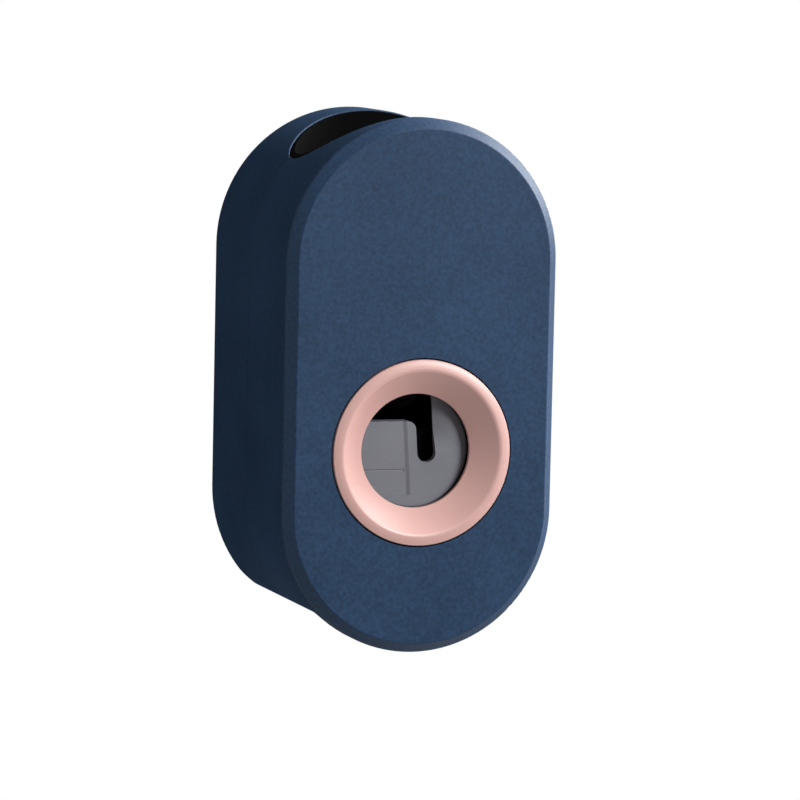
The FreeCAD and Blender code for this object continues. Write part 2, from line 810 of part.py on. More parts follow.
def return_spring(side):
    turns = spring_turns + 2
    edges = []
    for i in range(turns * quarter_count):
        start = i / quarter_count
        end = (i + 1) / quarter_count
        edges += biarc(spring_point(start), spring_tangent(start), spring_point(end), spring_tangent(end))
    path = Part.Wire(Part.__sortEdges__(edges))
    section = Part.Wire(Part.makeCircle(spring_wire_radius, spring_point(0), spring_tangent(0)))
    coil = path.makePipeShell([section], True, False)
    coil.translate(vector(side * rod_x, bushing_back_y + spring_seat_gap + spring_wire_radius, hole_z))
    print("return spring: least gap between turns", round(spring_self_gap(turns), 2), "mm")
    return coil


def chassis():
    side_foot = hole_z - lug_height / 2 - side_height_below
    back = block(-chassis_half, chassis_half, chassis_plate_y, chassis_back_y, chassis_bottom_z, deck_top_z)
    shelf_half = upright_inner_x - shelf_side_clearance
    shelf_front = tube_y - sleeve_radius - shelf_front_margin
    pieces = [
        block(-chassis_half, chassis_half, lug_front_y, chassis_back_y, deck_z, deck_top_z),
        block(-chassis_half, chassis_half, anvil_y, anvil_back_y, shelf_z, deck_top_z),
        block(-shelf_half, shelf_half, shelf_front, anvil_back_y, shelf_z, shelf_top_z),
    ]
    through_back = (chassis_plate_y - overrun, chassis_back_y + overrun)
    through_deck = (deck_z - overrun, deck_top_z + overrun)
    cuts = [
        rod_along_z(spigot_radius + pass_clearance, 0, tube_y, *through_deck),
        rod_along_z(sleeve_radius + pass_clearance, 0, tube_y, shelf_z - overrun, shelf_top_z + overrun),
    ]
    clamp_room = sleeve_radius + spigot_clearance + clamp_wall + pass_clearance
    for low in (lower_clamp_z, upper_clamp_z):
        cuts.append(rod_along_z(clamp_room, 0, tube_y, low - clamp_gap, low + clamp_height + clamp_gap))
    for side in (-1, 1):
        plate = sorted((side * chassis_inner, side * chassis_half))
        lug = sorted((side * (rod_x - lug_reach), side * chassis_half))
        pieces.append(block(*plate, lug_front_y, chassis_back_y, side_foot, deck_top_z))
        pieces.append(block(*lug, lug_front_y, lug_back_y, hole_z - lug_height / 2, hole_z + lug_height / 2))
        seat = rod_radius + thread_clearance
        cuts.append(rod_along_y(seat, side * rod_x, hole_z, lug_front_y + rod_inset, lug_back_y + overrun))
        cuts.append(rod_along_y(seat, side * rod_x, hole_z, *through_back))
        pilot = nozzle_screw_radius + thread_clearance
        bite = (shelf_z - overrun, shelf_z + nozzle_screw_bite)
        cuts.append(rod_along_z(pilot, side * nozzle_screw_x, tube_y, *bite))
    for x, z in chassis_screw_places:
        cuts.append(rod_along_y(chassis_screw_radius + pass_clearance, x, z, *through_back))
    for x, y in socket_screw_places:
        cuts.append(rod_along_z(socket_screw_radius + thread_clearance, x, y, *through_deck))
    return fuse_all(back, pieces).cut(cuts)


def chassis_screws():
    length = chassis_plate + chassis_screw_bite - screw_tip_gap
    sizes = (chassis_screw_head_radius, chassis_screw_head_height, chassis_screw_radius, length)
    return Part.makeCompound([screw_backward(x, z, chassis_plate_y, *sizes) for x, z in chassis_screw_places])


def squeeze_sleeve():
    low = shelf_z + sleeve_end_gap
    high = deck_z - sleeve_end_gap
    tube = rod_along_z(sleeve_radius, 0, tube_y, low, high)
    return tube.cut(rod_along_z(sleeve_radius - sleeve_wall, 0, tube_y, low - overrun, high + overrun))


def sleeve_clamp(low):
    inner = sleeve_radius + spigot_clearance
    band = rod_along_z(inner + clamp_wall, 0, tube_y, low, low + clamp_height)
    return band.cut(rod_along_z(inner, 0, tube_y, low - overrun, low + clamp_height + overrun))


def tube_socket():
    flange = rod_along_z(socket_flange_radius, 0, tube_y, deck_top_z, socket_floor_z)
    barrel = rod_along_z(socket_bore_radius + socket_wall, 0, tube_y, deck_top_z, socket_top_z)
    spigot = rod_along_z(spigot_radius, 0, tube_y, spigot_low_z, socket_floor_z)
    socket = fuse_all(flange, [barrel, spigot])
    cuts = [
        rod_along_z(socket_bore_radius, 0, tube_y, seal_top_z, socket_top_z + overrun),
        rod_along_z(socket_seat_radius, 0, tube_y, socket_floor_z, socket_top_z),
        rod_along_z(spigot_bore_radius, 0, tube_y, spigot_low_z - overrun, socket_top_z),
    ]
    through_flange = (deck_top_z - overrun, socket_floor_z + overrun)
    for x, y in socket_screw_places:
        cuts.append(rod_along_z(socket_screw_radius + pass_clearance, x, y, *through_flange))
    return socket.cut(cuts)


def socket_screws():
    length = socket_flange + deck_thickness
    sizes = (socket_screw_head_radius, socket_screw_head_height, socket_screw_radius, length)
    places = socket_screw_places
    return Part.makeCompound([screw_upright(x, y, socket_floor_z, True, *sizes) for x, y in places])


def tube_seal():
    radius = socket_seat_radius - seal_side_gap
    seal = rod_along_z(radius, 0, tube_y, valve_top_z, seal_top_z)
    return seal.cut(rod_along_z(radius - seal_wall, 0, tube_y, valve_top_z - overrun, seal_top_z + overrun))


# Duckbill that points up from the origin: a round root that narrows to a flat tip with a slit
def duckbill(radius, root, bill):
    body = rod_along_z(radius, 0, 0, 0, root + bill)
    half_tip = valve_tip / 2
    outline = Part.makePolygon([
        vector(-radius, -radius, 0),
        vector(-radius, radius, 0),
        vector(-radius, radius, root),
        vector(-radius, half_tip, root + bill),
        vector(-radius, -half_tip, root + bill),
        vector(-radius, -radius, root),
        vector(-radius, -radius, 0),
    ])
    body = body.common(Part.Face(outline).extrude(vector(2 * radius, 0, 0)))
    half_slit = radius - valve_slit_margin
    half_gap = valve_slit / 2
    return body.cut(block(-half_slit, half_slit, -half_gap, half_gap, root, root + bill + overrun))


def inlet_valve():
    radius = spigot_bore_radius - valve_wall_gap
    root = valve_length * valve_root_share
    bore = radius - valve_slit_margin
    bill = duckbill(radius, root, valve_length - root)
    bill = bill.cut(rod_along_z(bore, 0, 0, -overrun, root))
    bill.rotate(vector(0, 0, 0), vector(1, 0, 0), half_turn)
    bill.translate(vector(0, tube_y, socket_floor_z))
    rim = rod_along_z(socket_seat_radius - seal_side_gap, 0, tube_y, socket_floor_z, valve_top_z)
    rim = rim.cut(rod_along_z(bore, 0, tube_y, socket_floor_z - overrun, valve_top_z + overrun))
    return fuse_all(rim, [bill])


def outlet_nozzle():
    half_length = nozzle_flange_length / 2
    half_width = nozzle_flange_width / 2
    flange = block(
        -half_length, half_length, tube_y - half_width, tube_y + half_width, shelf_z - nozzle_flange, shelf_z
    )
    elbow = rod_along_z(elbow_radius, 0, tube_y, shelf_z - elbow_drop, shelf_z)
    spigot = rod_along_z(spigot_radius, 0, tube_y, shelf_z, spigot_high_z)
    spout = rod_along_y(spout_radius, 0, spout_z, spout_tip_y, tube_y)
    cuts = [
        rod_along_z(nozzle_bore_radius, 0, tube_y, spout_z, spigot_high_z + overrun),
        rod_along_y(spout_bore_radius, 0, spout_z, spout_tip_y - overrun, tube_y),
    ]
    through_flange = (shelf_z - nozzle_flange - overrun, shelf_z + overrun)
    for side in (-1, 1):
        hole = nozzle_screw_radius + pass_clearance
        cuts.append(rod_along_z(hole, side * nozzle_screw_x, tube_y, *through_flange))
    return fuse_all(flange, [elbow, spigot, spout]).cut(cuts)


def nozzle_screws():
    seat_z = shelf_z - nozzle_flange
    length = nozzle_flange + nozzle_screw_bite - screw_tip_gap
    sizes = (nozzle_screw_head_radius, nozzle_screw_head_height, nozzle_screw_radius, length)
    places = (-nozzle_screw_x, nozzle_screw_x)
    return Part.makeCompound([screw_upright(x, tube_y, seat_z, False, *sizes) for x in places])


def outlet_valve():
    inner = spout_radius + spigot_clearance
    valve = duckbill(inner + outlet_valve_wall, outlet_valve_grip, outlet_valve_bill)
    valve = valve.cut(rod_along_z(inner, 0, 0, -overrun, outlet_valve_grip))
    valve.rotate(vector(0, 0, 0), vector(1, 0, 0), half_turn / 2)
    valve.translate(vector(0, spout_tip_y + outlet_valve_grip, spout_z))
    return valve


def wall_plate():
    plate = plate_along_y(plate_width, plate_height, plate_corner_radius, plate_front_y, plate_back_y)
    studs = []
    for z in stud_places:
        studs.append(rod_along_y(stud_neck_radius, 0, z, stud_head_y, plate_front_y))
        head = rod_along_y(stud_head_radius, 0, z, stud_tip_y, stud_head_y)
        studs.append(head.makeChamfer(stud_chamfer, edges_at_y(head, stud_tip_y)))
    return fuse_all(plate, studs)


def adhesive_pad():
    width = plate_width - 2 * pad_margin
    height = plate_height - 2 * pad_margin
    return plate_along_y(width, height, plate_corner_radius - pad_margin, plate_back_y, 0)


case = case_shape()
nodes = {
    "front_cover": front_cover(case),
    "rear_shell": rear_shell(case),
    "tube_guide": tube_guide(),
    "funnel_ring": funnel_ring(),
    "brush_pusher": brush_pusher(),
    "pusher_yoke": pusher_yoke(),
    "pusher_screws": pusher_screws(),
    "press_bar": press_bar(),
    "guide_bushings": guide_bushings(),
    "guide_rod_left": guide_rod(-1),
    "guide_rod_right": guide_rod(1),
    "return_spring_left": return_spring(-1),
    "return_spring_right": return_spring(1),
    "stop_washers": stop_washers(),
    "chassis": chassis(),
    "chassis_screws": chassis_screws(),
    "tube_socket": tube_socket(),
    "socket_screws": socket_screws(),
    "tube_seal": tube_seal(),
    "inlet_valve": inlet_valve(),
    "squeeze_sleeve": squeeze_sleeve(),
    "sleeve_clamp_upper": sleeve_clamp(upper_clamp_z),
    "sleeve_clamp_lower": sleeve_clamp(lower_clamp_z),
    "outlet_nozzle": outlet_nozzle(),
    "nozzle_screws": nozzle_screws(),
    "outlet_valve": outlet_valve(),
    "case_screws": case_screws(),
    "wall_plate": wall_plate(),
    "adhesive_pad": adhesive_pad(),
}
for name, shape in nodes.items():
    shape.exportStep("parts/" + name + ".step")
    state = "valid" if shape.isValid() else "NOT VALID"
    print(name, len(shape.Solids), "solids", round(shape.Volume, 1), "mm3", state)
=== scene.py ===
import bpy
import bmesh
import json
import math
from mathutils import Matrix, Vector


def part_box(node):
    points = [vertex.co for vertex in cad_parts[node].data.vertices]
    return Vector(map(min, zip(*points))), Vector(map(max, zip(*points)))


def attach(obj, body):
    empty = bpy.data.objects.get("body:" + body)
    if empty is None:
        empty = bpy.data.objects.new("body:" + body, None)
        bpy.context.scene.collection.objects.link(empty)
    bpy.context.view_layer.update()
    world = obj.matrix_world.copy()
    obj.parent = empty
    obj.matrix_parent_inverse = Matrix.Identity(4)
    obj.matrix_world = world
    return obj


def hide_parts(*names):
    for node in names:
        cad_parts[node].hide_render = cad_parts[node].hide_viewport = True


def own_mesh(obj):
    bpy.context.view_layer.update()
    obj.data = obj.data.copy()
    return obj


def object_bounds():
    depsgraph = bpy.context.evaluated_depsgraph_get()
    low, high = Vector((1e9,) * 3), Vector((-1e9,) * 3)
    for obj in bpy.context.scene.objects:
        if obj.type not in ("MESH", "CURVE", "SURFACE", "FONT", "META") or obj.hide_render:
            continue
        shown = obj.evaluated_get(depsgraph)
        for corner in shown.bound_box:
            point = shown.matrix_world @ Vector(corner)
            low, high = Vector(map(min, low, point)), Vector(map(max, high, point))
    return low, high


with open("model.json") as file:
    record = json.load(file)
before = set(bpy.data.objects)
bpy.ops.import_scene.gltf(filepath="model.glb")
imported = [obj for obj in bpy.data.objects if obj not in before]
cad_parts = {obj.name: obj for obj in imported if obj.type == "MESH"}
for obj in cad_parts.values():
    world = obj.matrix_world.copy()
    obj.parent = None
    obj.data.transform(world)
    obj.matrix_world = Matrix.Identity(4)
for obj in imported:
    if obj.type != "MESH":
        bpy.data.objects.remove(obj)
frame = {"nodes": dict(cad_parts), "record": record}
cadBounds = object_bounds()
cadNodes = frame["nodes"]
bodyOf = {node: body for body, group in frame["record"]["behaviour"]["bodies"].items() for node in group}
slotOf = {row["node"]: row["material_slot"] for row in frame["record"]["subparts"]}
yAxis, zAxis = Vector((0, 1, 0)), Vector((0, 0, 1))
millimetre = 0.001
print("frame loaded,", len(cadNodes), "nodes")


# Materials: one function for each kind of finish, all on Object coordinates
noiseSpan = {"low": 0.3, "high": 0.7}  # part of the noise that the tones and finishes are spread over
noiseDetail = {"grain": 4, "lines": 3, "cloud": 2}


def addNode(tree, kind, **settings):
    node = tree.nodes.new(kind)
    for name, value in settings.items():
        setattr(node, name, value)
    return node


def startMaterial(name, look):
    material = bpy.data.materials.new(name)
    material.use_nodes = True
    tree = material.node_tree
    shader = tree.nodes["Principled BSDF"]
    shader.inputs["Metallic"].default_value = look.get("metallic", 0.0)
    shader.inputs["Specular IOR Level"].default_value = look.get("specular", 0.5)
    shader.inputs["Sheen Weight"].default_value = look.get("sheen", 0.0)
    coords = addNode(tree, "ShaderNodeTexCoord")
    return material, tree, shader, coords.outputs["Object"]


def noiseOn(tree, place, scale, detail, stretch=(1, 1, 1)):
    mapping = addNode(tree, "ShaderNodeMapping")
    mapping.inputs["Scale"].default_value = stretch
    noise = addNode(tree, "ShaderNodeTexNoise")
    noise.inputs["Scale"].default_value = scale
    noise.inputs["Detail"].default_value = detail
    tree.links.new(place, mapping.inputs["Vector"])
    tree.links.new(mapping.outputs["Vector"], noise.inputs["Vector"])
    return noise.outputs["Fac"]


def spread(tree, value, low, high):
    span = addNode(tree, "ShaderNodeMapRange")
    span.inputs["From Min"].default_value = noiseSpan["low"]
    span.inputs["From Max"].default_value = noiseSpan["high"]
    span.inputs["To Min"].default_value = low
    span.inputs["To Max"].default_value = high
    tree.links.new(value, span.inputs["Value"])
    return span.outputs["Result"]


def tint(tree, value, dark, light):
    ramp = addNode(tree, "ShaderNodeValToRGB")
    ramp.color_ramp.elements[0].position = noiseSpan["low"]
    ramp.color_ramp.elements[1].position = noiseSpan["high"]
    ramp.color_ramp.elements[0].color = (*dark, 1)
    ramp.color_ramp.elements[1].color = (*light, 1)
    tree.links.new(value, ramp.inputs["Fac"])
    return ramp.outputs["Color"]


def mixNoise(tree, first, second, share):
    mix = addNode(tree, "ShaderNodeMix", data_type="FLOAT")
    mix.inputs["Factor"].default_value = share
    tree.links.new(first, mix.inputs["A"])
    tree.links.new(second, mix.inputs["B"])
    return mix.outputs["Result"]


def bumpOn(tree, shader, height, strength, distance):
    bump = addNode(tree, "ShaderNodeBump")
    bump.inputs["Strength"].default_value = strength
    bump.inputs["Distance"].default_value = distance
    tree.links.new(height, bump.inputs["Height"])
    tree.links.new(bump.outputs["Normal"], shader.inputs["Normal"])


# Moulded plastic: a fine spark-eroded grain over a faint, broad unevenness of tone
def mouldedPlastic(name, look):
    material, tree, shader, place = startMaterial(name, look)
    grain = noiseOn(tree, place, look["grainScale"], noiseDetail["grain"])
    cloud = noiseOn(tree, place, look["cloudScale"], noiseDetail["cloud"])
    tone = mixNoise(tree, grain, cloud, look["cloudShare"])
    tree.links.new(tint(tree, tone, look["dark"], look["light"]), shader.inputs["Base Color"])
    tree.links.new(spread(tree, cloud, *look["roughness"]), shader.inputs["Roughness"])
    bumpOn(tree, shader, grain, look["bump"], look["bumpDepth"])
    return material


# Drawn or turned metal: fine lines along one direction
def drawnSteel(name, look):
    material, tree, shader, place = startMaterial(name, look)
    lines = noiseOn(tree, place, look["lineScale"], noiseDetail["lines"], look["stretch"])
    cloud = noiseOn(tree, place, look["cloudScale"], noiseDetail["cloud"])
    tree.links.new(tint(tree, cloud, look["dark"], look["light"]), shader.inputs["Base Color"])
    tree.links.new(spread(tree, lines, *look["roughness"]), shader.inputs["Roughness"])
    bumpOn(tree, shader, lines, look["bump"], look["bumpDepth"])
    return material


# Closed-cell foam: small cells in the colour and in the surface
def cellFoam(name, look):
    material, tree, shader, place = startMaterial(name, look)
    cells = addNode(tree, "ShaderNodeTexVoronoi")
    cells.inputs["Scale"].default_value = look["cellScale"]
    tree.links.new(place, cells.inputs["Vector"])
    cloud = noiseOn(tree, place, look["cloudScale"], noiseDetail["cloud"])
    tone = mixNoise(tree, cells.outputs["Distance"], cloud, look["cloudShare"])
    tree.links.new(tint(tree, tone, look["dark"], look["light"]), shader.inputs["Base Color"])
    tree.links.new(spread(tree, cloud, *look["roughness"]), shader.inputs["Roughness"])
    bumpOn(tree, shader, cells.outputs["Distance"], look["bump"], look["bumpDepth"])
    return material


navyLook = {
    "dark": (0.0125, 0.0345, 0.0765),
    "light": (0.0245, 0.0652, 0.1432),
    "grainScale": 1150,
    "cloudScale": 45,
    "cloudShare": 0.25,
    "roughness": (0.48, 0.56),
    "specular": 0.26,
    "bump": 0.6,
    "bumpDepth": 0.00006,
}
pinkLook = {
    "dark": (0.715, 0.423, 0.383),
    "light": (0.785, 0.473, 0.428),
    "grainScale": 3200,
    "cloudScale": 60,
    "cloudShare": 0.4,
    "roughness": (0.34, 0.42),
    "specular": 0.75,
    "bump": 0.12,
    "bumpDepth": 0.00004,
}
greyLook = {
    "dark": (0.178, 0.184, 0.213),
    "light": (0.216, 0.222, 0.253),
    "grainScale": 3000,
    "cloudScale": 70,
    "cloudShare": 0.4,
    "roughness": (0.38, 0.46),
    "specular": 0.4,
    "bump": 0.15,
    "bumpDepth": 0.00004,
}
# Near-black frame and tube guide, darker than real black plastic: painted shade, so the inside seen
# through the slot and round the pusher renders as black as deep shade
paintedShadeBlackLook = {
    "dark": (0.0012, 0.0013, 0.0015),
    "light": (0.0021, 0.0022, 0.0025),
    "grainScale": 2400,
    "cloudScale": 60,
    "cloudShare": 0.3,
    "roughness": (0.6, 0.7),
    "specular": 0.03,
    "bump": 0.3,
    "bumpDepth": 0.00005,
}
socketLook = {
    **paintedShadeBlackLook,
    "dark": (0.016, 0.016, 0.018),
    "light": (0.024, 0.024, 0.027),
    "roughness": (0.4, 0.5),
}
bushLook = {
    "dark": (0.055, 0.055, 0.052),
    "light": (0.075, 0.075, 0.070),
    "grainScale": 2600,
    "cloudScale": 90,
    "cloudShare": 0.4,
    "roughness": (0.35, 0.42),
    "specular": 0.45,
    "bump": 0.1,
    "bumpDepth": 0.00003,
}
siliconeLook = {
    "dark": (0.004, 0.004, 0.0045),
    "light": (0.007, 0.007, 0.008),
    "grainScale": 1400,
    "cloudScale": 110,
    "cloudShare": 0.5,
    "roughness": (0.5, 0.62),
    "specular": 0.15,
    "sheen": 0.05,
    "bump": 0.15,
    "bumpDepth": 0.00004,
}
steelLook = {
    "dark": (0.50, 0.50, 0.51),
    "light": (0.62, 0.62, 0.63),
    "metallic": 1.0,
    "lineScale": 3000,
    "stretch": (1, 0.04, 1),
    "cloudScale": 120,
    "roughness": (0.24, 0.36),
    "bump": 0.08,
    "bumpDepth": 0.00003,
}
screwLook = {
    **steelLook,
    "dark": (0.40, 0.40, 0.42),
    "light": (0.54, 0.54, 0.55),
    "lineScale": 1500,
    "stretch": (1, 1, 1),
    "roughness": (0.30, 0.45),
}
foamLook = {
    "dark": (0.62, 0.62, 0.59),
    "light": (0.80, 0.80, 0.77),
    "cellScale": 1800,
    "cloudScale": 90,
    "cloudShare": 0.4,
    "roughness": (0.75, 0.9),
    "specular": 0.3,
    "bump": 0.4,
    "bumpDepth": 0.00012,
}
finishes = {
    "navy_shell": mouldedPlastic("navyGrainedPlastic", navyLook),
    "pink_ring": mouldedPlastic("pinkSatinPlastic", pinkLook),
    "grey_pusher": mouldedPlastic("greySatinPlastic", greyLook),
    # the frame's near-black colour is painted shade
    "dark_frame": mouldedPlastic("paintedShadeBlackPlastic", paintedShadeBlackLook),
    "socket_plastic": mouldedPlastic("socketPlastic", socketLook),
    "silicone": mouldedPlastic("darkSilicone", siliconeLook),
    "bush_plastic": mouldedPlastic("bearingPlastic", bushLook),
    "steel": drawnSteel("drawnSteel", steelLook),
    "screw_steel": drawnSteel("platedScrewSteel", screwLook),
    "plate_plastic": mouldedPlastic("navyPlatePlastic", navyLook),
    "pad_foam": cellFoam("adhesiveFoam", foamLook),
}
for node, part in cadNodes.items():
    part.data.materials.clear()
    part.data.materials.append(finishes[slotOf[node]])
print("finishes set on", len(cadNodes), "nodes:", len(finishes), "materials")


# Turns a finished bmesh into a piece that stands for a node and rides on its body
def makePiece(name, bm, node, smoothAngle):
    mesh = bpy.data.meshes.new(name)
    bm.to_mesh(mesh)
    bm.free()
    mesh.shade_smooth()
    mesh.set_sharp_from_angle(angle=math.radians(smoothAngle))
    piece = bpy.data.objects.new(name, mesh)
    bpy.context.scene.collection.objects.link(piece)
    mesh.materials.append(finishes[slotOf[node]])
    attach(piece, bodyOf[node])
    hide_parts(node)
    return piece


# Skins a closed stack of rings, each given as half width, half depth and height
def stackRings(bm, stations, segments):
    ring = bmesh.ops.create_circle(bm, segments=segments, radius=1)["verts"]
    first = None
    reach = (1, 1, 0)
    for station in stations:
        if first is None:
            first = {edge for vert in ring for edge in vert.link_edges}
            edges = list(first)
        else:
            grown = bmesh.ops.extrude_edge_only(bm, edges=edges)["geom"]
            ring = [item for item in grown if isinstance(item, bmesh.types.BMVert)]
            inRing = set(ring)
            edges = [
                item for item in grown
                if isinstance(item, bmesh.types.BMEdge) and all(vert in inRing for vert in item.verts)
            ]
        bmesh.ops.scale(bm, verts=ring, vec=(station[0] / reach[0], station[1] / reach[1], 1))
        bmesh.ops.translate(bm, verts=ring, vec=(0, 0, station[2] - reach[2]))
        reach = station
    bmesh.ops.bridge_loops(bm, edges=list(first) + edges)
    bmesh.ops.recalc_face_normals(bm, faces=bm.faces)


# Gasket under the tube's neck, with a raised bead half way across
sealShape = {
    "width": 2.2 * millimetre,
    "bead": 0.25 * millimetre,
    "beadCrown": 0.5,
    "segments": 64,
    "smooth": 30,
}
sealLow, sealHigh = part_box("tube_seal")
sealCentre = (sealLow + sealHigh) / 2
outer = (sealHigh.x - sealLow.x) / 2
inner = outer - sealShape["width"]
beadTop = sealHigh.z
sealTop = beadTop - sealShape["bead"]
middle = (outer + inner) / 2
beadHalf = (outer - inner) / 4
beadCrown = beadHalf * sealShape["beadCrown"]
bm = bmesh.new()
stackRings(bm, [
    (inner, inner, sealLow.z),
    (outer, outer, sealLow.z),
    (outer, outer, sealTop),
    (middle + beadHalf, middle + beadHalf, sealTop),
    (middle + beadCrown, middle + beadCrown, beadTop),
    (middle - beadCrown, middle - beadCrown, beadTop),
    (middle - beadHalf, middle - beadHalf, sealTop),
    (inner, inner, sealTop),
], sealShape["segments"])
bmesh.ops.translate(bm, verts=bm.verts, vec=(sealCentre.x, sealCentre.y, 0))
makePiece("sealGasket", bm, "tube_seal", sealShape["smooth"])

# Duckbill inlet: a flange on the socket's floor and a bill that narrows to a slit
inletShape = {
    "flange": 1.2 * millimetre,
    "root": 2.3 * millimetre,
    "bill": 3.9 * millimetre,
    "wall": 1.2 * millimetre,
    "tip": 0.6 * millimetre,
    "slit": 0.15 * millimetre,
    "segments": 48,
    "smooth": 50,
}
inletLow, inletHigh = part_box("inlet_valve")
inletCentre = (inletLow + inletHigh) / 2
rim = (inletHigh.x - inletLow.x) / 2
bill = inletShape["bill"]
bore = bill - inletShape["wall"]
flangeFoot = inletHigh.z - inletShape["flange"]
billTop = flangeFoot - inletShape["root"]
billHalf = (billTop + inletLow.z) / 2
bm = bmesh.new()
stackRings(bm, [
    (bore, bore, inletHigh.z),
    (rim, rim, inletHigh.z),
    (rim, rim, flangeFoot),
    (bill, bill, flangeFoot),
    (bill, bill, billTop),
    (bill, (bill + inletShape["tip"]) / 2, billHalf),
    (bill, inletShape["tip"], inletLow.z),
    (bore, inletShape["slit"], inletLow.z),
    (bore, (bore + inletShape["slit"]) / 2, billHalf),
    (bore, bore, billTop),
], inletShape["segments"])
bmesh.ops.translate(bm, verts=bm.verts, vec=(inletCentre.x, inletCentre.y, 0))
makePiece("inletDuckbill", bm, "inlet_valve", inletShape["smooth"])

# Duckbill outlet: a cuff over the spout and a bill towards the brush
outletShape = {
    "grip": 3.5 * millimetre,
    "wall": 0.8 * millimetre,
    "lipWall": 1.2 * millimetre,
    "bead": 0.25 * millimetre,
    "beadEnd": 0.25,
    "beadFade": 0.4,
    "tip": 0.6 * millimetre,
    "slit": 0.15 * millimetre,
    "segments": 48,
    "smooth": 50,
}
outletLow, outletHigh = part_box("outlet_valve")
outletCentre = (outletLow + outletHigh) / 2
cuff = (outletHigh.x - outletLow.x) / 2
body = cuff - outletShape["bead"]
bore = cuff - outletShape["wall"]
lipBore = cuff - outletShape["lipWall"]
length = outletHigh.y - outletLow.y
grip = outletShape["grip"]
billHalf = (grip + length) / 2
bm = bmesh.new()
stackRings(bm, [
    (bore, bore, 0),
    (cuff, cuff, 0),
    (cuff, cuff, grip * outletShape["beadEnd"]),
    (body, body, grip * outletShape["beadFade"]),
    (body, body, grip),
    (body, (body + outletShape["tip"]) / 2, billHalf),
    (body, outletShape["tip"], length),
    (lipBore, outletShape["slit"], length),
    (lipBore, (lipBore + outletShape["slit"]) / 2, billHalf),
    (lipBore, lipBore, grip),
    (bore, bore, grip),
], outletShape["segments"])
bmesh.ops.rotate(bm, verts=bm.verts, cent=(0, 0, 0), matrix=Matrix.Rotation(math.pi / 2, 3, "X"))
bmesh.ops.translate(bm, verts=bm.verts, vec=(outletCentre.x, outletHigh.y, outletCentre.z))
makePiece("outletDuckbill", bm, "outlet_valve", outletShape["smooth"])

# Pump sleeve: two cuffs held by the clamps, and between them the waist that the press bar squeezes flat
# in use; all three are made as plain round tubes
sleeveShape = {
    "wall": 1.2 * millimetre,
    "lowerCuff": 6.4 * millimetre,
    "upperCuff": 4.48 * millimetre,
    "squeezed": 0.19,
    "segments": 64,
    "smooth": 40,
}
sleeveLow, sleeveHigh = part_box("squeeze_sleeve")
sleeveCentre = (sleeveLow + sleeveHigh) / 2
outer = (sleeveHigh.x - sleeveLow.x) / 2
inner = outer - sleeveShape["wall"]


def sleevePart(name, low, high):
    bm = bmesh.new()
    stackRings(bm, [
        (inner, inner, low),
        (outer, outer, low),
        (outer, outer, (low + high) / 2),
        (outer, outer, high),
        (inner, inner, high),
        (inner, inner, (low + high) / 2),
    ], sleeveShape["segments"])
    bmesh.ops.translate(bm, verts=bm.verts, vec=(sleeveCentre.x, sleeveCentre.y, 0))
    return makePiece(name, bm, "squeeze_sleeve", sleeveShape["smooth"])


lowerCuffTop = sleeveLow.z + sleeveShape["lowerCuff"]
upperCuffFoot = sleeveHigh.z - sleeveShape["upperCuff"]
sleevePart("sleeveLowerCuff", sleeveLow.z, lowerCuffTop)
sleevePart("sleeveUpperCuff", upperCuffFoot, sleeveHigh.z)
waist = sleevePart("sleeveWaist", lowerCuffTop, upperCuffFoot)
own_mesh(waist)
print("silicone pieces made")

# Return springs: a wire ring carried round in a helix, with a closer turn at each end
springShape = {
    "radius": 3.0 * millimetre,
    "wire": 0.45 * millimetre,
    "turns": 7,
    "endPitch": 1.5 * millimetre,
    "steps": 40,
    "wireSides": 10,
    "smooth": 60,
}


def springPiece(name, node):
    low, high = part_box(node)
    centre = (low + high) / 2
    wire = springShape["wire"]
    length = high.y - low.y - 2 * wire
    steps = springShape["steps"]
    bm = bmesh.new()
    sides = springShape["wireSides"]
    ring = bmesh.ops.create_circle(bm, cap_ends=True, segments=sides, radius=wire)["verts"]
    bmesh.ops.translate(bm, verts=ring, vec=(springShape["radius"], 0, 0))
    end = [item for vert in ring for item in (vert, *vert.link_edges)]
    middleTurns = springShape["turns"]
    endPitch = springShape["endPitch"]
    middlePitch = (length - 2 * endPitch) / middleTurns
    for turns, pitch in ((1, endPitch), (middleTurns, middlePitch), (1, endPitch)):
        swept = bmesh.ops.spin(
            bm, geom=list(dict.fromkeys(end)), cent=(0, 0, 0), axis=yAxis, dvec=yAxis * pitch / steps,
            angle=2 * math.pi * turns, steps=steps * turns, use_merge=False
        )
        end = [item for item in swept["geom_last"] if not isinstance(item, bmesh.types.BMFace)]
    bmesh.ops.holes_fill(bm, edges=[edge for edge in bm.edges if edge.is_boundary])
    bmesh.ops.recalc_face_normals(bm, faces=bm.faces)
    bmesh.ops.translate(bm, verts=bm.verts, vec=(centre.x, low.y + wire, centre.z))
    piece = makePiece(name, bm, node, springShape["smooth"])
    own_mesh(piece)


springPiece("returnCoilLeft", "return_spring_left")
springPiece("returnCoilRight", "return_spring_right")
print("springs wound")

# Foam pad on the back of the wall plate: rounded corners and a softened edge
padShape = {
    "corner": 2.0 * millimetre,
    "cornerSteps": 8,
    "edge": 0.3 * millimetre,
    "edgeSteps": 3,
    "smooth": 30,
}
padLow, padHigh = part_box("adhesive_pad")
padSize = padHigh - padLow
bm = bmesh.new()
bmesh.ops.create_cube(bm, size=1)
bmesh.ops.scale(bm, verts=bm.verts, vec=padSize)
upright = [edge for edge in bm.edges if abs(edge.verts[0].co.y - edge.verts[1].co.y) > padSize.y / 2]
bmesh.ops.bevel(
    bm, geom=upright, offset=padShape["corner"], offset_type="OFFSET", affect="EDGES",
    segments=padShape["cornerSteps"], profile=0.5, material=-1
)
rimEdges = [edge for edge in bm.edges if abs(edge.verts[0].co.y - edge.verts[1].co.y) < padSize.y / 2]
bmesh.ops.bevel(
    bm, geom=rimEdges, offset=padShape["edge"], offset_type="OFFSET", affect="EDGES",
    segments=padShape["edgeSteps"], profile=0.5, material=-1
)
bmesh.ops.translate(bm, verts=bm.verts, vec=(padLow + padHigh) / 2)
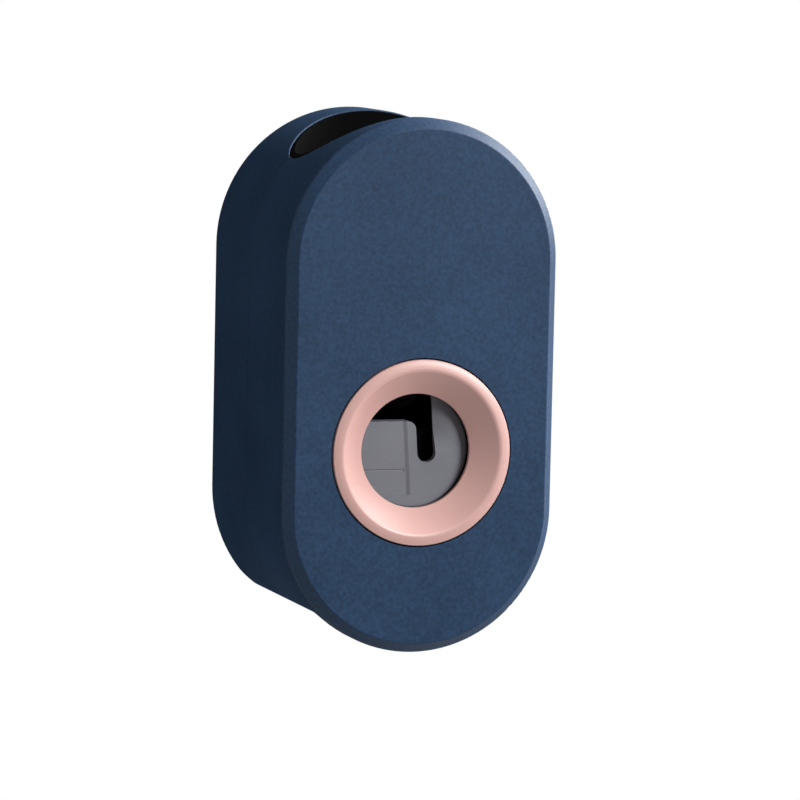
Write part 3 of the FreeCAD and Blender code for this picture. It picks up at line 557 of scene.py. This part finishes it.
pad = makePiece("foamPad", bm, "adhesive_pad", padShape["smooth"])
print("foam pad made")

# Camera: fitted to the outlines of the photograph
cameraPlace = {
    "location": (-0.37075, -1.09136, 0.11737),
    "forward": (0.33208, 0.93688, -0.10945),
    "roll": 1.23,
    "lens": 202.5,
    "sensor": 36,
}
forward = Vector(cameraPlace["forward"]).normalized()
right = forward.cross(zAxis).normalized()
roll = Matrix.Rotation(math.radians(-cameraPlace["roll"]), 3, forward)
right = roll @ right
up = right.cross(forward)
cameraData = bpy.data.cameras.new("photoCamera")
cameraData.lens = cameraPlace["lens"]
cameraData.sensor_width = cameraPlace["sensor"]
camera = bpy.data.objects.new("photoCamera", cameraData)
turn = Matrix((right, up, -forward)).transposed().to_4x4()
camera.matrix_world = Matrix.Translation(cameraPlace["location"]) @ turn
bpy.context.scene.collection.objects.link(camera)
bpy.context.scene.camera = camera

# Lamps: a broad key from the front right, and a softbox on the right that lights the bevelled edge
lampPlaces = {
    "keyLamp": {"place": (0.64, -0.89, 0.49), "power": 13.8, "size": 0.5},
    "edgeLamp": {"place": (0.80, 0.14, 0.50), "power": 18.0, "size": 0.7},
}
for name, lamp in lampPlaces.items():
    lampData = bpy.data.lights.new(name, "AREA")
    lampData.energy = lamp["power"]
    lampData.size = lamp["size"]
    lampObject = bpy.data.objects.new(name, lampData)
    lampObject.location = lamp["place"]
    lampObject.rotation_mode = "QUATERNION"
    lampObject.rotation_quaternion = (-Vector(lamp["place"])).to_track_quat("-Z", "Y")
    bpy.context.scene.collection.objects.link(lampObject)


# One where a ray comes from the camera, a reflection or a clear surface, zero for scattered light
def seenDirectly(tree):
    path = addNode(tree, "ShaderNodeLightPath")
    seen = path.outputs["Is Camera Ray"]
    for kind in ("Is Glossy Ray", "Is Transmission Ray"):
        most = addNode(tree, "ShaderNodeMath", operation="MAXIMUM")
        tree.links.new(seen, most.inputs[0])
        tree.links.new(path.outputs[kind], most.inputs[1])
        seen = most.outputs["Value"]
    return seen


# World: white to the camera and in reflections, dimmer as a source of light
skyLight = {"ambient": 0.17, "seen": 1.0}
world = bpy.data.worlds.new("studio")
bpy.context.scene.world = world
world.use_nodes = True
worldTree = world.node_tree
background = worldTree.nodes["Background"]
background.inputs["Color"].default_value = (1, 1, 1, 1)
strength = addNode(worldTree, "ShaderNodeMapRange")
strength.inputs["To Min"].default_value = skyLight["ambient"]
strength.inputs["To Max"].default_value = skyLight["seen"]
worldTree.links.new(seenDirectly(worldTree), strength.inputs["Value"])
worldTree.links.new(strength.outputs["Result"], background.inputs["Strength"])

# Pale floor well below the case, since the dispenser hangs on a wall
floorShape = {"drop": 1.0, "radius": 0.8, "segments": 96, "colour": (0.6, 0.6, 0.6, 1), "glow": 0.85}
bm = bmesh.new()
bmesh.ops.create_circle(bm, cap_ends=True, segments=floorShape["segments"], radius=floorShape["radius"])
bmesh.ops.translate(bm, verts=bm.verts, vec=(0, 0, cadBounds[0].z - floorShape["drop"]))
floorMesh = bpy.data.meshes.new("studioFloor")
bm.to_mesh(floorMesh)
bm.free()
floor = bpy.data.objects.new("studioFloor", floorMesh)
bpy.context.scene.collection.objects.link(floor)
floorMaterial = bpy.data.materials.new("paleFloor")
floorMaterial.use_nodes = True
floorTree = floorMaterial.node_tree
floorTree.nodes.remove(floorTree.nodes["Principled BSDF"])
matt = addNode(floorTree, "ShaderNodeBsdfDiffuse")
matt.inputs["Color"].default_value = floorShape["colour"]
glow = addNode(floorTree, "ShaderNodeEmission")
share = addNode(floorTree, "ShaderNodeMath", operation="MULTIPLY")
share.inputs[1].default_value = floorShape["glow"]
blend = addNode(floorTree, "ShaderNodeMixShader")
floorTree.links.new(seenDirectly(floorTree), share.inputs[0])
floorTree.links.new(share.outputs["Value"], blend.inputs["Fac"])
floorTree.links.new(matt.outputs["BSDF"], blend.inputs[1])
floorTree.links.new(glow.outputs["Emission"], blend.inputs[2])
floorTree.links.new(blend.outputs["Shader"], floorTree.nodes["Material Output"].inputs["Surface"])
floorMesh.materials.append(floorMaterial)

# Black flags that only reflections see: they keep the white studio off the left side and the front
flagPlaces = {
    "sideFlag": {"y": 0.5, "left": -0.9, "right": 0.7, "foot": -0.6, "top": 0.8},
    "frontFlag": {"y": -1.4, "left": -0.7, "right": 1.6, "foot": -1.4, "top": 0.9},
}
flagCloth = mouldedPlastic("flagCloth", {**paintedShadeBlackLook, "specular": 0.0})
for name, place in flagPlaces.items():
    bm = bmesh.new()
    bmesh.ops.create_grid(bm, x_segments=1, y_segments=1, size=0.5)
    bmesh.ops.rotate(bm, verts=bm.verts, cent=(0, 0, 0), matrix=Matrix.Rotation(math.pi / 2, 3, "X"))
    flagSize = (place["right"] - place["left"], 1, place["top"] - place["foot"])
    flagMiddle = ((place["right"] + place["left"]) / 2, place["y"], (place["top"] + place["foot"]) / 2)
    bmesh.ops.scale(bm, verts=bm.verts, vec=flagSize)
    bmesh.ops.translate(bm, verts=bm.verts, vec=flagMiddle)
    flagMesh = bpy.data.meshes.new(name)
    bm.to_mesh(flagMesh)
    bm.free()
    flagMesh.materials.append(flagCloth)
    flag = bpy.data.objects.new(name, flagMesh)
    flag.visible_camera = False
    flag.visible_diffuse = False
    flag.visible_shadow = False
    flag.visible_transmission = False
    bpy.context.scene.collection.objects.link(flag)

bpy.context.scene.view_settings.view_transform = "Standard"
